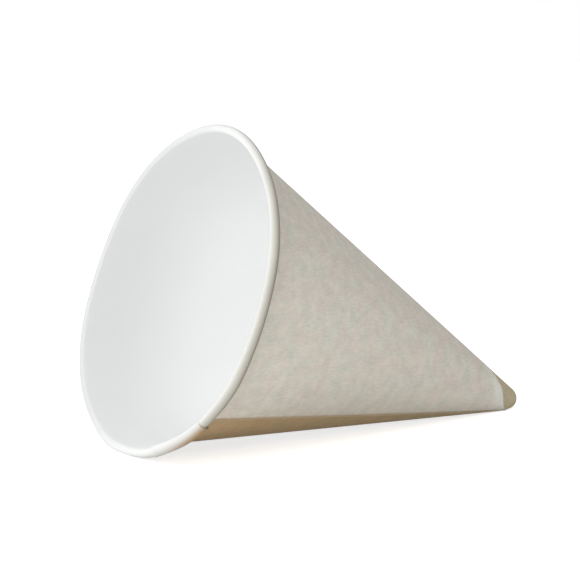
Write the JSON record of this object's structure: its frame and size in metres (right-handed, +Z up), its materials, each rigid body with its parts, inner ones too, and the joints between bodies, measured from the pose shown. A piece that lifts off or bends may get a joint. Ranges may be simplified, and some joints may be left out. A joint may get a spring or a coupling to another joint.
{
  "type": "cone paper cup",
  "caption": "Cone-shaped paper cup with a rolled rim, a glued side seam and a folded blunt tip, lying on its side.",
  "frame": {"origin": "middle of the lying cup's footprint, on the surface that it lies on", "axes": "+X towards the tip along the cup's length, +Y away from the side seam's side, +Z up"},
  "size_m": [0.0991, 0.07, 0.0657],
  "materials": {
    "cup_paper": "matt"
  },
  "bodies": {
    "root": {"cone_cup": "cup_paper"}
  },
  "joints": []
}
